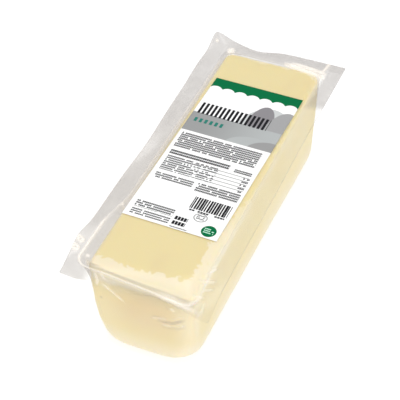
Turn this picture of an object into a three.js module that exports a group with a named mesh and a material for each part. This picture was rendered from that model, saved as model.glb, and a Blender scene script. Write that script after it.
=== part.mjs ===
// A block of mozzarella in its clear pack: the cheese, the formed tray film that hugs it,
// the flat lid film sealed to the tray's flange, and the paper label on the lid.
// Millimetres, +Z up. The block runs along Y with its near end at -Y, and the pack rests on z = 0.
import * as THREE from 'three';

// ---- Driving dimensions ----
const cheese = {
  left: -45.2, right: 43, near: -142.5, far: 146.5,  // at the top
  top: 88,                              // the flat top's height above the table
  bottomEdge: 13,                       // round edge between the walls and the underside
  topEdge: 3,                           // small round edge where the walls meet the top
};
const film = { thickness: 0.4, gap: 0.3 };

// Radius of the upright corners: small at the top, large low down where the tray was drawn deepest.
const corner = {
  near: { top: 4.4, foot: 31, fade: 2.9 },
  far: { top: 8, foot: 26, fade: 1 },
  height: 66,                           // above this the corners keep their top radius
  underneath: 0.35,                     // extra radius for each millimetre in from the wall's foot
};

// The foot is narrower than the top at the near end and a little wider at the far end, and its
// near end bows out.
const foot = {
  nearLeft: 5.5, nearRight: 1, farWidening: 2.3, levelY: 2, reach: 130, bow: 1.3, bowFrom: -100,
};

// The top slopes off towards its near and right edges. Its flat part ends on a rounded outline.
const shoulder = {
  flatRight: 35.5, flatNear: -132, turn: 18, endDrop: 0.6, sideDrop: 2.2, power: 1.4,
  sagShare: 0.75,                       // how much of the rim's sag the cheese's edge follows
};
// The rim sinks towards the near right corner, and the edge of the cheese with it.
const sag = { startX: -30, slope: 0.128, startY: -103, endY: -143 };

// Mouth of the tray, where the wall turns out into the flange.
const mouth = {
  left: -47.4, right: 44.9, near: -147, far: 149, nearRadius: 11, farRadius: 9,
  flareStart: 66,                                 // the wall leaves the cheese above this height
  pocket: 6.7, pocketStartY: -55, pocketEndY: -100, // empty corner beside the near left of the block
};
// The raised bead beside the mouth is full at both ends and fades out along the sides.
const bead = { height: 1, sideHeight: 0.25, place: 0.1, fullFrom: 122, fadeFrom: 90 };
const flange = { left: -62.2, right: 61.3, near: -158.2, far: 162, radius: 1.5, curl: 1.5 };
// The flange's near left corner is drawn in a little.
const drawnIn = { x: -62.2, y: -158.2, moveX: 0.7, moveY: 1.6, reach: 20 };

// Gentle waves along the flange's outer edge: where each one is, how far it reaches, how high it goes.
const waves = [
  { x: -62, y: 157, reach: 13, lift: 7.6 },       // far left corner curls up
  { x: -22, y: 162, reach: 17, lift: -4.4 },
  { x: -61, y: 118, reach: 26, lift: 3 },
  { x: -61, y: 6, reach: 34, lift: -3.3 },
  { x: -61, y: -120, reach: 15, lift: 5.2 },
  { x: -61, y: -158, reach: 14, lift: -3 },
  { x: -18, y: -158, reach: 9, lift: -4.5 },
  { x: 20, y: -158, reach: 12, lift: 4 },
  { x: 58, y: -158, reach: 14, lift: -6.5 },      // near right corner turns down
  { x: 61, y: 60, reach: 60, lift: 2 },
];

const label = { width: 81.2, length: 188.6, thickness: 0.25, x: -1, y: 11.1, turn: -1.2 };

const steps = { corner: 5, side: 14, end: 9, bottomEdge: 5 };
const splitBias = 1e-4;
const clamp01 = (v) => Math.min(1, Math.max(0, v));
const smooth = (v) => { const t = clamp01(v); return t * t * (3 - 2 * t); };
const mix = (a, b, t) => a + (b - a) * t;
const bell = (dx, dy, reach) => Math.exp(-(dx * dx + dy * dy) / (reach * reach));

// ---- Outlines: one loop of points, counter-clockwise from the near end of the right side ----
function outline({ left, right, near, far, nearRadius, farRadius }) {
  const arcs = [
    { x: right - farRadius, y: far - farRadius, r: farRadius, start: 0 },
    { x: left + farRadius, y: far - farRadius, r: farRadius, start: 90 },
    { x: left + nearRadius, y: near + nearRadius, r: nearRadius, start: 180 },
    { x: right - nearRadius, y: near + nearRadius, r: nearRadius, start: 270 },
  ].map(({ x, y, r, start }) => Array.from({ length: steps.corner + 1 }, (_, i) => {
    const angle = THREE.MathUtils.degToRad(start + 90 * i / steps.corner);
    return [x + r * Math.cos(angle), y + r * Math.sin(angle)];
  }));
  const counts = [steps.end, steps.side, steps.end, steps.side];
  return arcs.flatMap((arc, n) => {
    const [x0, y0] = arc[arc.length - 1];
    const [x1, y1] = arcs[(n + 1) % arcs.length][0];
    const straight = Array.from({ length: counts[n] - 1 }, (_, i) => {
      const t = (i + 1) / counts[n];
      return [mix(x0, x1, t), mix(y0, y1, t)];
    });
    return [...arc, ...straight];
  });
}

// Radius of an upright corner at height z.
function cornerRadius({ top, foot: low, fade }, z) {
  return top + (low - top) * clamp01(1 - z / corner.height) ** fade;
}

// The block's outline at height z, moved out by offset (in where it is negative).
// rounding widens the corners, for the rings over the top.
function blockOutline(z, offset, rounding = 0) {
  const radius = (end) => Math.max(1, cornerRadius(end, z) + offset + rounding);
  const points = outline({
    left: cheese.left - offset, right: cheese.right + offset,
    near: cheese.near - offset, far: cheese.far + offset,
    nearRadius: radius(corner.near), farRadius: radius(corner.far),
  });
  const depth = 1 - clamp01(z / cheese.top);
  return points.map(([x, y]) => {
    const half = offset + (x < 0 ? -cheese.left : cheese.right);
    const along = (y - foot.levelY) / foot.reach;
    const narrowing = x < 0 ? foot.nearLeft : foot.nearRight;
    const widening = along < 0 ? Math.max(-1, along) * narrowing : along * foot.farWidening;
    const bow = y < foot.bowFrom ? foot.bow * depth * (1 - (x / half) ** 2) : 0;
    return [x * (1 + widening * depth / half), y - bow];
  });
}

// Outline of the tray's mouth, with the empty pocket beside the near left corner of the block.
function mouthOutline(offset) {
  return outline({
    left: mouth.left - offset, right: mouth.right + offset,
    near: mouth.near - offset, far: mouth.far + offset,
    nearRadius: mouth.nearRadius + offset, farRadius: mouth.farRadius + offset,
  }).map(([x, y]) => {
    const near = smooth((mouth.pocketStartY - y) / (mouth.pocketStartY - mouth.pocketEndY));
    return [x - mouth.pocket * near * clamp01(x / mouth.left), y];
  });
}

function flangeOutline() {
  return outline({ ...flange, nearRadius: flange.radius, farRadius: flange.radius }).map(([x, y]) => {
    const pull = bell(x - drawnIn.x, y - drawnIn.y, drawnIn.reach);
    return [x + drawnIn.moveX * pull, y + drawnIn.moveY * pull];
  });
}

// ---- Heights ----
const nearEnd = (y) => smooth((sag.startY - y) / (sag.startY - sag.endY));
const rimSag = (x, y) => sag.slope * Math.max(0, x - sag.startX) * nearEnd(y);

// Distance outside a right and a near edge that meet in a round corner, negative inside.
function distanceOutside(x, y, right, near, turn) {
  const dx = x - right + turn;
  const dy = near - y + turn;
  return Math.min(Math.max(dx, dy), 0) + Math.hypot(Math.max(dx, 0), Math.max(dy, 0)) - turn;
}

// Top of the cheese: flat, with a soft shoulder that runs down to its near and right edges.
function topHeight(x, y) {
  const past = distanceOutside(x, y, shoulder.flatRight, shoulder.flatNear, shoulder.turn);
  if (past <= 0) return cheese.top;
  const left = -distanceOutside(x, y, cheese.right, cheese.near, corner.near.top);
  const slope = clamp01(past / (past + Math.max(0, left))) ** shoulder.power;
  const drop = mix(shoulder.sideDrop, shoulder.endDrop, nearEnd(y)) + shoulder.sagShare * rimSag(x, y);
  return cheese.top - slope * drop;
}

// Height of the flange's outer edge above or below the plane of the seal.
const edgeLift = ([x, y]) => waves.reduce((sum, wave) => (
  sum + wave.lift * bell(x - wave.x, y - wave.y, wave.reach)), 0);

function beadHeight([, y], across) {
  const ends = smooth((Math.abs(y) - bead.fadeFrom) / (bead.fullFrom - bead.fadeFrom));
  return mix(bead.sideHeight, bead.height, ends) * bell(across - bead.place, 0, bead.place);
}

// The seal surface between tray and lid: across is 0 at the mouth and 1 at the outer edge.
function flangeRing(across, lower) {
  const inner = mouthOutline(0);
  const outer = flangeOutline();
  const curl = across ** flange.curl;
  return inner.map((from, i) => {
    const to = outer[i];
    const rim = cheese.top - rimSag(...from);
    const z = mix(rim, cheese.top + edgeLift(to), curl) + beadHeight(from, across);
    return [mix(from[0], to[0], across), mix(from[1], to[1], across), z - lower];
  });
}

// ---- Lofted solids ----
// Splits a quad along its shorter diagonal, so that neighbouring skins are split alike.
function quad(points, a, b, c, d) {
  const span = (p, q) => Math.hypot(...points[p].map((v, k) => v - points[q][k]));
  return span(a, c) < span(b, d) + splitBias ? [a, b, c, a, c, d] : [a, b, d, b, c, d];
}

// Joins rings of equal length into one closed body, with a fan of triangles over each end ring.
function loft(rings) {
  const count = rings[0].length;
  const centre = (ring) => [0, 1, 2].map((k) => ring.reduce((sum, p) => sum + p[k], 0) / count);
  const points = [...rings.flat(), centre(rings[0]), centre(rings[rings.length - 1])];
  const first = points.length - 2;
  const last = points.length - 1;
  const top = (rings.length - 1) * count;
  const faces = [];
  for (let i = 0; i < count; i += 1) {
    const next = (i + 1) % count;
    faces.push(first, next, i);
    for (let a = 0; a < top; a += count) {
      const b = a + count;
      faces.push(...quad(points, a + i, a + next, b + next, b + i));
    }
    faces.push(last, top + i, top + next);
  }
  const geometry = new THREE.BufferGeometry();
  geometry.setAttribute('position', new THREE.Float32BufferAttribute(points.flat(), 3));
  geometry.setIndex(faces);
  geometry.computeVertexNormals();
  return geometry;
}

const atHeight = (points, height) => points.map(([x, y]) => [x, y, height(x, y)]);

// The round bottom edge and the plain part of the wall, from the underside up to the flare.
// offset is how far this surface lies outside the cheese.
function bodyRings(offset) {
  const radius = cheese.bottomEdge + offset;
  const centreZ = film.thickness + film.gap + cheese.bottomEdge;
  const edge = Array.from({ length: steps.bottomEdge + 1 }, (_, i) => {
    const angle = Math.PI / 2 * i / steps.bottomEdge;
    const z = centreZ - radius * Math.cos(angle);
    const inset = radius * (1 - Math.sin(angle));
    const rounding = corner.underneath * inset;
    return atHeight(blockOutline(Math.min(z, centreZ), offset - inset, rounding), () => z);
  });
  const walls = [0.3, 0.62, 1].map((part) => {
    const z = mix(centreZ, mouth.flareStart, part);
    return atHeight(blockOutline(z, offset), () => z);
  });
  return [...edge, ...walls];
}

// Rings over the top of the block, from its edge inwards, raised by lift.
function topRings(lift) {
  const round = [{ inset: 0.3, down: 0.3 }, { inset: 1, down: 0 }].map(({ inset, down }) => (
    atHeight(blockOutline(cheese.top, -inset * cheese.topEdge),
      (x, y) => topHeight(x, y) - down * cheese.topEdge + lift)));
  const flat = [5.5, 8.5, 12, 20].map((inset) => (
    atHeight(blockOutline(cheese.top, -inset, 1.5 * inset), (x, y) => topHeight(x, y) + lift)));
  return [...round, ...flat];
}

function cheeseGeometry() {
  const wallTop = atHeight(blockOutline(cheese.top, 0), (x, y) => topHeight(x, y) - cheese.topEdge);
  return loft([...bodyRings(0), wallTop, ...topRings(0)]);
}

// The tray's wall from the flare up to its mouth. The outer face lies film.thickness further out.
function flareRings(offset) {
  const rim = mouthOutline(offset - film.gap);
  return [0.35, 0.7, 0.92].map((part) => {
    const wall = blockOutline(cheese.top, offset);
    return wall.map(([x, y], i) => {
      const out = part ** 2.2;
      const top = cheese.top - rimSag(...rim[i]);
      return [mix(x, rim[i][0], out), mix(y, rim[i][1], out), mix(mouth.flareStart, top, part)];
    });
  });
}

function trayGeometry() {
  const across = [0, 0.1, 0.22, 0.5, 0.78, 1];
  const inner = [...bodyRings(film.gap), ...flareRings(film.gap)];
  const outer = [...bodyRings(film.gap + film.thickness), ...flareRings(film.gap + film.thickness)];
  const upper = across.map((t) => flangeRing(t, 0));
  const under = across.map((t) => flangeRing(t, film.thickness));
  // Under the mouth the outer face stands the film's thickness outside the inner one.
  under[0] = mouthOutline(film.thickness).map(([x, y], i) => [x, y, under[0][i][2]]);
  return loft([...outer, ...under, ...upper.reverse(), ...inner.reverse()]);
}

// The lid film lies on the flange, dips into the narrow channel inside the mouth and covers the top.
function lidGeometry() {
  const across = [1, 0.78, 0.5, 0.22, 0.1, 0];
  const side = (lift) => {
    const [edge, ...top] = topRings(lift);
    const rim = flangeRing(0, -lift);
    const channel = edge.map((p, i) => [
      mix(p[0], rim[i][0], 0.45), mix(p[1], rim[i][1], 0.45), mix(p[2], rim[i][2], 0.25),
    ]);
    return [...across.map((t) => flangeRing(t, -lift)), channel, edge, ...top];
  };
  const under = side(film.gap);
  const upper = side(film.gap + film.thickness);
  return loft([...under.reverse(), ...upper]);
}

function labelGeometry() {
  return new THREE.BoxGeometry(label.width, label.length, label.thickness);
}

// ---- Assembly ----
function piece(name, geometry, look) {
  const mesh = new THREE.Mesh(geometry, new THREE.MeshStandardMaterial({ metalness: 0, ...look }));
  mesh.name = name;
  return mesh;
}

const group = new THREE.Group();
const clearFilm = { color: 0xe4e2de, roughness: 0.12, transparent: true, opacity: 0.35 };
group.add(piece('cheese_block', cheeseGeometry(), { color: 0xf0dfae, roughness: 0.5 }));
group.add(piece('tray_film', trayGeometry(), clearFilm));
group.add(piece('lid_film', lidGeometry(), clearFilm));

const paper = piece('label', labelGeometry(), { color: 0xf7f7f5, roughness: 0.45 });
const lidTop = cheese.top + film.gap + film.thickness;
paper.position.set(label.x, label.y, lidTop + film.gap + label.thickness / 2);
paper.rotation.z = THREE.MathUtils.degToRad(label.turn);
group.add(paper);

// The origin is under the middle of the whole pack, flange included.
group.position.set(-(flange.left + flange.right) / 2, -(flange.near + flange.far) / 2, 0);

export default group;
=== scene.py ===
# A block of mozzarella in its clear pack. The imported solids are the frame, and each piece here is
# modelled round them: the cheese, the formed tray film, the lid film and the label.
# The formulas work in millimetres: x and y over the plan, from a point near the middle of the pack,
# and z up from its underside. packShift takes them to the frame.
import math

import bpy
import numpy as np
from mathutils import Matrix, Vector, noise


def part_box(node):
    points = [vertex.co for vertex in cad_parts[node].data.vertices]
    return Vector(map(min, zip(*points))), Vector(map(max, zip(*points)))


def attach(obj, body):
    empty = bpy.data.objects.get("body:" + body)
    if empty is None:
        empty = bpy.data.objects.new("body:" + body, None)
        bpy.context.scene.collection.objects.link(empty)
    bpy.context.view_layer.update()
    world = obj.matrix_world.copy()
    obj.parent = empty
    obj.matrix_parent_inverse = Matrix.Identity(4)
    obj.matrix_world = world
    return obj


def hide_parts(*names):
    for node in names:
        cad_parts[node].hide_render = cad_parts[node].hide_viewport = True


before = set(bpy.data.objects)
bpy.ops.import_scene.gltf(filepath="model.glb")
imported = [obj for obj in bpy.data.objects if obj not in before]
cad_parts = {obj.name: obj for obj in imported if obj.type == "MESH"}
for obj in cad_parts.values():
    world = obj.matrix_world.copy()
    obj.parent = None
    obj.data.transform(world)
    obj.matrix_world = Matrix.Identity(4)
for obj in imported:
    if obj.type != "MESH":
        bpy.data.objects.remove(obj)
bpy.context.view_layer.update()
mm = 0.001
tiny = 1e-9          # keeps a divisor above zero
blockLow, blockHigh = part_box("cheese_block")


# camera, floor and light

view = {
    "place": (0.31435, -0.76407, 0.8136),
    "azimuth": 23.13,
    "elevation": 42.93,
    "roll": -0.651,
    "lens": 120.49, "sensor": 36,
}
studio = {
    "floorSize": 8,
    "floorColour": (0.5, 0.5, 0.5, 1),
    "glowColour": (1, 1, 1, 1), "floorGlow": 0.6,
    "skyColour": (1, 1, 1, 1),
    "skyStrength": 0.58,
    "roughness": 0.9,
    "aim": (0, 0, 0.05),      # what the lamps point at
}
lamps = [
    {"name": "overhead", "place": (0.1, 0.1, 1.5), "size": (1.2, 1.2), "power": 9.4},
    {"name": "back", "place": (-1.7, 1.3, 0.7), "size": (1.2, 1.0), "power": 8},
    {"name": "front", "place": (-0.5, -1.9, 0.8), "size": (1.4, 0.9), "power": 9.1},
    {"name": "right", "place": (1.7, -0.6, 0.8), "size": (0.9, 1.6), "power": 10},
]


def makeCamera():
    bpy.ops.object.camera_add(location=view["place"])
    camera = bpy.context.object
    camera.name = "photoCamera"
    turn = Matrix.Rotation(math.radians(view["azimuth"]), 4, "Z")
    tip = Matrix.Rotation(math.radians(90 - view["elevation"]), 4, "X")
    roll = Matrix.Rotation(math.radians(view["roll"]), 4, "Z")
    camera.matrix_world = Matrix.Translation(view["place"]) @ turn @ tip @ roll
    camera.data.lens = view["lens"]
    camera.data.sensor_width = view["sensor"]
    bpy.context.scene.camera = camera


def makeStudio():
    scene = bpy.context.scene
    scene.view_settings.view_transform = "Standard"
    bpy.ops.mesh.primitive_plane_add(size=studio["floorSize"], location=(0, 0, 0))
    floor = bpy.context.object
    floor.name = "floor"
    material = bpy.data.materials.new("paleFloor")
    material.use_nodes = True
    shader = material.node_tree.nodes["Principled BSDF"]
    shader.inputs["Base Color"].default_value = studio["floorColour"]
    shader.inputs["Roughness"].default_value = studio["roughness"]
    shader.inputs["Emission Color"].default_value = studio["glowColour"]
    shader.inputs["Emission Strength"].default_value = studio["floorGlow"]
    floor.data.materials.append(material)
    world = bpy.data.worlds.new("softSky")
    world.use_nodes = True
    sky = world.node_tree.nodes["Background"]
    sky.inputs["Color"].default_value = studio["skyColour"]
    sky.inputs["Strength"].default_value = studio["skyStrength"]
    scene.world = world
    for lamp in lamps:
        bpy.ops.object.light_add(type="AREA", location=lamp["place"])
        light = bpy.context.object
        light.name = lamp["name"]
        light.data.shape = "RECTANGLE"
        light.data.size, light.data.size_y = lamp["size"]
        light.data.energy = lamp["power"]
        aim = Vector(studio["aim"]) - light.location
        light.rotation_euler = aim.to_track_quat("-Z", "Y").to_euler()


bpy.ops.object.select_all(action="DESELECT")
makeCamera()
makeStudio()
print("camera, floor and lights")


# the form of the pack, in millimetres

block = {
    "left": -45.2, "right": 43, "near": -142.5, "far": 146.5,      # at the top
    "top": 88, "bottomEdge": 13, "topEdge": 3,
    "nearTop": 4.4, "nearFoot": 31, "nearFade": 2.9,      # radius of the upright corners
    "farTop": 8, "farFoot": 26, "farFade": 1, "cornerHeight": 66, "underneath": 0.35,
    "nearLeft": 5.5, "nearRight": 1, "farWidening": 2.3, "levelY": 2, "footReach": 130,
    "bow": 1.3, "bowFrom": -100,
}
shoulder = {
    "right": 35.5, "near": -132, "turn": 18, "endDrop": 0.6, "sideDrop": 2.2, "power": 1.4,
    "sagShare": 0.75,
}
sag = {"startX": -30, "slope": 0.128, "startY": -103, "endY": -143}
mouth = {"left": -47.4, "right": 44.9, "near": -147, "far": 149, "nearRadius": 11, "farRadius": 9}
pocket = {"depth": 6.7, "startY": -55, "endY": -100}
flange = {"left": -62.2, "right": 61.3, "near": -158.2, "far": 162, "nearRadius": 1.5, "farRadius": 1.5}
packShift = [-(flange["left"] + flange["right"]) / 2, -(flange["near"] + flange["far"]) / 2, 0]
drawnIn = {"x": -62.2, "y": -158.2, "moveX": 0.7, "moveY": 1.6, "reach": 20}
flangeCurl = 1.5
bead = {
    "place": -0.6, "reach": 1.1,
    "height": 1.0, "ends": (90, 122),                # towards both ends of the mouth
    "sideHeight": 0.3, "leftSide": (20, -20),        # along the left side only
}
flangeWaves = [
    {"x": -62, "y": 157, "reach": 13, "lift": 7.6},      # far left corner curls up
    {"x": -22, "y": 162, "reach": 17, "lift": -4.4},
    {"x": -61, "y": 118, "reach": 26, "lift": 3},
    {"x": -61, "y": 6, "reach": 34, "lift": -3.3},
    {"x": -61, "y": -120, "reach": 15, "lift": 5.2},
    {"x": -61, "y": -158, "reach": 14, "lift": -3},
    {"x": -18, "y": -158, "reach": 9, "lift": -4.5},
    {"x": 20, "y": -158, "reach": 12, "lift": 4},
    {"x": 58, "y": -158, "reach": 14, "lift": -6.5},     # near right corner turns down
    {"x": 61, "y": 60, "reach": 60, "lift": 2},
]
# The film's near edge hangs a little lower beside the pocket than the frame's.
extraWaves = [{"x": -47, "y": -158, "reach": 8, "lift": -2.2}]
# Two round marks pressed into the left flange.
pressedMarks = [{"x": -59.6, "y": -131.2}, {"x": -59.4, "y": -122.8}]
markShape = {"radius": 2.0, "height": 0.8, "reach": 1.0}


def mix(a, b, share):
    return a + (b - a) * share


def smooth(value):
    t = np.clip(value, 0, 1)
    return t * t * (3 - 2 * t)


def ramp(value, start, end):
    # 0 up to start and 1 past end, with a soft change between; start may be the larger one
    return smooth((value - start) / (end - start))


def bell(distance, reach):
    return np.exp(-(distance / reach) ** 2)


def outside(x, y, box):
    # distance outside a rectangle with round corners, negative inside
    radius = np.where(y < 0, box["nearRadius"], box["farRadius"])
    dx = np.maximum(box["left"] + radius - x, x - box["right"] + radius)
    dy = np.maximum(box["near"] + radius - y, y - box["far"] + radius)
    return np.minimum(np.maximum(dx, dy), 0) + np.hypot(np.maximum(dx, 0), np.maximum(dy, 0)) - radius


def outsideEdges(x, y, right, near, turn):
    # distance outside a right and a near edge that meet in a round corner
    dx = x - right + turn
    dy = near - y + turn
    return np.minimum(np.maximum(dx, dy), 0) + np.hypot(np.maximum(dx, 0), np.maximum(dy, 0)) - turn


blockTop = {
    "left": block["left"], "right": block["right"], "near": block["near"], "far": block["far"],
    "nearRadius": block["nearTop"], "farRadius": block["farTop"],
}


def pocketPull(y):
    return pocket["depth"] * ramp(y, pocket["startY"], pocket["endY"])


def outsideMouth(x, y):
    pull = pocketPull(y)
    wide = -mouth["left"]
    unpulled = np.where(x > -wide - pull, x / (1 + pull / wide), x + pull)
    return outside(np.where(x < 0, unpulled, x), y, mouth)


def cornerPull(x, y):
    return bell(np.hypot(x - drawnIn["x"], y - drawnIn["y"]), drawnIn["reach"])


def insideFlange(x, y):
    pull = cornerPull(x, y)
    return -outside(x - drawnIn["moveX"] * pull, y - drawnIn["moveY"] * pull, flange)


def nearEnd(y):
    return ramp(y, sag["startY"], sag["endY"])


def rimSag(x, y):
    return sag["slope"] * np.maximum(0, np.minimum(x, mouth["right"]) - sag["startX"]) * nearEnd(y)


def topHeight(x, y):
    # top of the cheese: flat, with a soft shoulder down to its near and right edges
    past = outsideEdges(x, y, shoulder["right"], shoulder["near"], shoulder["turn"])
    left = -outsideEdges(x, y, blockTop["right"], blockTop["near"], block["nearTop"])
    past = np.maximum(past, 0)
    slope = np.clip(past / (past + np.maximum(0, left) + tiny), 0, 1) ** shoulder["power"]
    drop = mix(shoulder["sideDrop"], shoulder["endDrop"], nearEnd(y))
    return block["top"] - slope * (drop + shoulder["sagShare"] * rimSag(x, y))


def edgeLift(x, y):
    waves = flangeWaves + extraWaves
    return sum(w["lift"] * bell(np.hypot(x - w["x"], y - w["y"]), w["reach"]) for w in waves)


def beadHeight(x, y, past):
    side = bead["sideHeight"] * ramp(x, *bead["leftSide"])
    height = mix(side, bead["height"], ramp(np.abs(y), *bead["ends"]))
    return height * bell(past - bead["place"], bead["reach"])


def markRing(x, y):
    # 1 on the raised rims of the pressed marks
    distances = [np.hypot(x - mark["x"], y - mark["y"]) for mark in pressedMarks]
    rings = [bell(distance - markShape["radius"], markShape["reach"]) for distance in distances]
    return np.max(rings, axis=0)


def sealHeight(x, y):
    # the surface where tray and lid are sealed together, from the mouth out to the edge
    past = outsideMouth(x, y)
    left = np.maximum(insideFlange(x, y), 0)
    across = np.clip(np.maximum(past, 0) / (np.maximum(past, 0) + left + tiny), 0, 1)
    rim = block["top"] - rimSag(x, y)
    curled = mix(rim, block["top"] + edgeLift(x, y), across ** flangeCurl)
    return curled + beadHeight(x, y, past) + markShape["height"] * markRing(x, y)


def outlinePoints(u, box, steps):
    # points round a rectangle with round corners, at u from 0 to 1, with the same share of u
    # for each corner, end and side whatever the rectangle
    corners = [
        (box["right"], box["far"], -1, -1, box["farRadius"], 0),
        (box["left"], box["far"], 1, -1, box["farRadius"], 90),
        (box["left"], box["near"], 1, 1, box["nearRadius"], 180),
        (box["right"], box["near"], -1, 1, box["nearRadius"], 270),
    ]
    knots, xs, ys = [], [], []
    at = 0
    for (x, y, inX, inY, radius, start), straight in zip(corners, [steps["end"], steps["side"]] * 2):
        for i in range(steps["corner"] + 1):
            angle = math.radians(start + 90 * i / steps["corner"])
            knots.append(at + i)
            xs.append(x + radius * (inX + math.cos(angle)))
            ys.append(y + radius * (inY + math.sin(angle)))
        at += steps["corner"] + straight
    knots.append(at)
    xs.append(xs[0])
    ys.append(ys[0])
    return np.interp(u * at, knots, xs), np.interp(u * at, knots, ys)


def cornerRadius(top, foot, fade, z):
    return top + (foot - top) * min(1, max(0, 1 - z / block["cornerHeight"])) ** fade


def blockOutline(u, z, offset, steps, inset=0):
    # inset is how far the round bottom edge has drawn the outline in
    offset = offset - inset
    rounding = offset + block["underneath"] * inset
    nearRadius = cornerRadius(block["nearTop"], block["nearFoot"], block["nearFade"], z) + rounding
    farRadius = cornerRadius(block["farTop"], block["farFoot"], block["farFade"], z) + rounding
    box = {"left": block["left"] - offset, "right": block["right"] + offset,
           "near": block["near"] - offset, "far": block["far"] + offset,
           "nearRadius": max(1, nearRadius), "farRadius": max(1, farRadius)}
    x, y = outlinePoints(u, box, steps)
    half = offset + np.where(x < 0, -block["left"], block["right"])
    depth = 1 - min(1, max(0, z / block["top"]))
    along = (y - block["levelY"]) / block["footReach"]
    narrowing = np.where(x < 0, block["nearLeft"], block["nearRight"]) * np.maximum(-1, along)
    widening = np.where(along < 0, narrowing, along * block["farWidening"])
    bow = np.where(y < block["bowFrom"], block["bow"] * depth * (1 - (x / half) ** 2), 0)
    return x * (1 + widening * depth / half), y - bow


def mouthOutline(u, steps):
    x, y = outlinePoints(u, mouth, steps)
    return x - pocketPull(y) * np.clip(x / mouth["left"], 0, 1), y


def flangeOutline(u, steps):
    x, y = outlinePoints(u, flange, steps)
    pull = cornerPull(x, y)
    return x + drawnIn["moveX"] * pull, y + drawnIn["moveY"] * pull


# helpers for meshes

def vertexPlaces(piece):
    places = np.empty(len(piece.data.vertices) * 3)
    piece.data.vertices.foreach_get("co", places)
    return places.reshape(-1, 3)


def vertexNormals(piece):
    normals = np.empty(len(piece.data.vertices) * 3)
    piece.data.vertex_normals.foreach_get("vector", normals)
    return normals.reshape(-1, 3)


def placeVertices(piece, points):
    piece.data.vertices.foreach_set("co", np.ascontiguousarray(points, float).ravel())
    piece.data.update()


def toMillimetres(places):
    return places / mm - packShift


def toMetres(points):
    return (points + packShift) * mm


def roughAt(points, size, seed):
    # smooth noise from -1 to 1, with lumps of the given size in millimetres
    shift = Vector((seed * 17.3, seed * 5.1, seed * 9.7))      # another part of the noise for each seed
    return np.array([noise.noise(Vector(p) / size + shift) for p in points])


def distanceToLine(points, line):
    # distance from each point to a bent line, and how far along it the nearest point lies, 0 to 1
    nearest = np.full(len(points), 1e9)
    along = np.zeros(len(points))
    corners = np.array(line, float)
    for i in range(len(corners) - 1):
        start, step = corners[i], corners[i + 1] - corners[i]
        t = np.clip(((points - start) @ step) / (step @ step), 0, 1)
        distance = np.linalg.norm(points - start - t[:, None] * step, axis=1)
        closer = distance < nearest
        nearest = np.where(closer, distance, nearest)
        along = np.where(closer, (i + t) / (len(corners) - 1), along)
    return nearest, along


def fadedEnds(along, part):
    # 1 along the middle of a line, falling to 0 over the given part of it at each end
    return ramp(along, 0, part) * ramp(along, 1, 1 - part)


creaseEnds = 0.25


def creaseHeight(points, creases):
    total = np.zeros(len(points))
    for crease in creases:
        distance, along = distanceToLine(points, crease["line"])
        total += crease["height"] * bell(distance, crease["width"]) * fadedEnds(along, creaseEnds)
    return total


def setAttribute(piece, name, values):
    attribute = piece.data.attributes.new(name, "FLOAT", "POINT")
    attribute.data.foreach_set("value", np.ascontiguousarray(values, np.float32))


def pickOnly(piece):
    bpy.ops.object.select_all(action="DESELECT")
    piece.select_set(True)
    bpy.context.view_layer.objects.active = piece


def applyModifier(piece, kind, **settings):
    modifier = piece.modifiers.new(kind.lower(), kind)
    for key, value in settings.items():
        setattr(modifier, key, value)
    pickOnly(piece)
    bpy.ops.object.modifier_apply(modifier=modifier.name)


def newGrid(name, across, along):
    bpy.ops.object.select_all(action="DESELECT")
    bpy.ops.mesh.primitive_grid_add(x_subdivisions=across, y_subdivisions=along, size=1)
    piece = bpy.context.object
    piece.name = name
    piece.data.name = name
    return piece


def finishPiece(piece, node, material):
    piece.data.materials.clear()
    piece.data.materials.append(material)
    pickOnly(piece)
    bpy.ops.object.shade_smooth()
    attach(piece, "root")
    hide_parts(node)
    print(piece.name, len(piece.data.polygons), "faces")


# helpers for materials

def newMaterial(name):
    material = bpy.data.materials.new(name)
    material.use_nodes = True
    material.node_tree.nodes.clear()
    return material, material.node_tree


def addNode(tree, kind, **settings):
    node = tree.nodes.new(kind)
    for key, value in settings.items():
        setattr(node, key, value)
    return node


def feed(tree, socket, value):
    if isinstance(value, bpy.types.NodeSocket):
        tree.links.new(value, socket)
    else:
        socket.default_value = value


def maths(tree, operation, *values):
    node = addNode(tree, "ShaderNodeMath", operation=operation)
    for socket, value in zip(node.inputs, values):
        feed(tree, socket, value)
    return node.outputs[0]


def mixColours(tree, share, first, second):
    node = addNode(tree, "ShaderNodeMix", data_type="RGBA")
    feed(tree, node.inputs["Factor"], share)
    feed(tree, node.inputs["A"], first)
    feed(tree, node.inputs["B"], second)
    return node.outputs["Result"]


def fadeBetween(tree, value, low, high):
    node = addNode(tree, "ShaderNodeMapRange", interpolation_type="SMOOTHSTEP")
    tree.links.new(value, node.inputs["Value"])
    node.inputs["From Min"].default_value = low
    node.inputs["From Max"].default_value = high
    return node.outputs["Result"]


def attributeValue(tree, name):
    return addNode(tree, "ShaderNodeAttribute", attribute_name=name).outputs["Fac"]


def noiseValue(tree, scale, detail=3.0, stretch=(1, 1, 1)):
    place = addNode(tree, "ShaderNodeTexCoord").outputs["Object"]
    mapping = addNode(tree, "ShaderNodeMapping")
    mapping.inputs["Scale"].default_value = stretch
    tree.links.new(place, mapping.inputs["Vector"])
    texture = addNode(tree, "ShaderNodeTexNoise")
    texture.inputs["Scale"].default_value = scale
    texture.inputs["Detail"].default_value = detail
    tree.links.new(mapping.outputs["Vector"], texture.inputs["Vector"])
    return texture.outputs["Fac"]


def bumpNormal(tree, height, strength, distance):
    node = addNode(tree, "ShaderNodeBump")
    node.inputs["Strength"].default_value = strength
    node.inputs["Distance"].default_value = distance
    tree.links.new(height, node.inputs["Height"])
    return node.outputs["Normal"]


def showSurface(tree, shader):
    output = addNode(tree, "ShaderNodeOutputMaterial")
    tree.links.new(shader.outputs[0], output.inputs["Surface"])


# the cheese

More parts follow.
